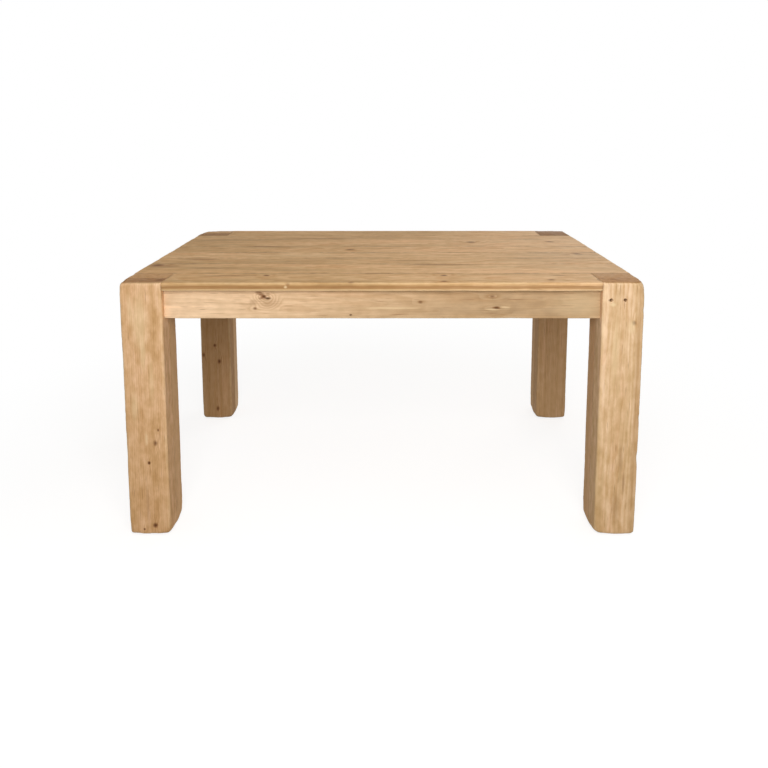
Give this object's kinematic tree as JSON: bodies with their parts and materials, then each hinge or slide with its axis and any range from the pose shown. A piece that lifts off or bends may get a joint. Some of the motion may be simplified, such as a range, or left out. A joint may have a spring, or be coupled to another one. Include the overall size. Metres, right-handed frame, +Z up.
{
  "type": "parsons dining table",
  "caption": "Rectangular dining table in old pine: square block legs rise flush through the corners of a planked top, over a set-back apron frame with mortise and tenon joints.",
  "frame": {"origin": "on the floor, under the middle of the table top", "axes": "+X along the table's length to the right as seen from the front, +Y from the front to the back, +Z up"},
  "size_m": [1.5, 0.9, 0.77],
  "materials": {
    "leg_pine": "matte, old waxed pine",
    "plank_pine": "matte, old waxed pine",
    "apron_pine": "matte, old waxed pine",
    "frame_pine": "bare, sawn pine",
    "tongue_beech": "bare, planed beech",
    "button_beech": "bare, planed beech",
    "zinc_steel": "zinc plated",
    "glide_nylon": "matte dark nylon"
  },
  "bodies": {
    "root": {"apron_back": "apron_pine", "apron_front": "apron_pine", "apron_left": "apron_pine", "apron_right": "apron_pine", "button_screws": "zinc_steel", "corner_brace_back_left": "frame_pine", "corner_brace_back_right": "frame_pine", "corner_brace_front_left": "frame_pine", "corner_brace_front_right": "frame_pine", "cross_batten_left": "frame_pine", "cross_batten_middle": "frame_pine", "cross_batten_right": "frame_pine", "floor_glide_back_left": "glide_nylon", "floor_glide_back_right": "glide_nylon", "floor_glide_front_left": "glide_nylon", "floor_glide_front_right": "glide_nylon", "lag_bolt_washers": "zinc_steel", "lag_bolts": "zinc_steel", "leg_back_left_inner_half": "leg_pine", "leg_back_left_outer_half": "leg_pine", "leg_back_right_inner_half": "leg_pine", "leg_back_right_outer_half": "leg_pine", "leg_front_left_inner_half": "leg_pine", "leg_front_left_outer_half": "leg_pine", "leg_front_right_inner_half": "leg_pine", "leg_front_right_outer_half": "leg_pine", "plank_tongue_1": "tongue_beech", "plank_tongue_2": "tongue_beech", "plank_tongue_3": "tongue_beech", "plank_tongue_4": "tongue_beech", "plank_tongue_5": "tongue_beech", "plank_tongue_6": "tongue_beech", "plank_tongue_7": "tongue_beech", "top_button_back_left": "button_beech", "top_button_back_right": "button_beech", "top_button_front_left": "button_beech", "top_button_front_right": "button_beech", "top_button_left_back": "button_beech", "top_button_left_front": "button_beech", "top_button_right_back": "button_beech", "top_button_right_front": "button_beech", "top_plank_1": "plank_pine", "top_plank_2": "plank_pine", "top_plank_3": "plank_pine", "top_plank_4": "plank_pine", "top_plank_5": "plank_pine", "top_plank_6": "plank_pine", "top_plank_7": "plank_pine", "top_plank_8": "plank_pine"}
  },
  "joints": []
}
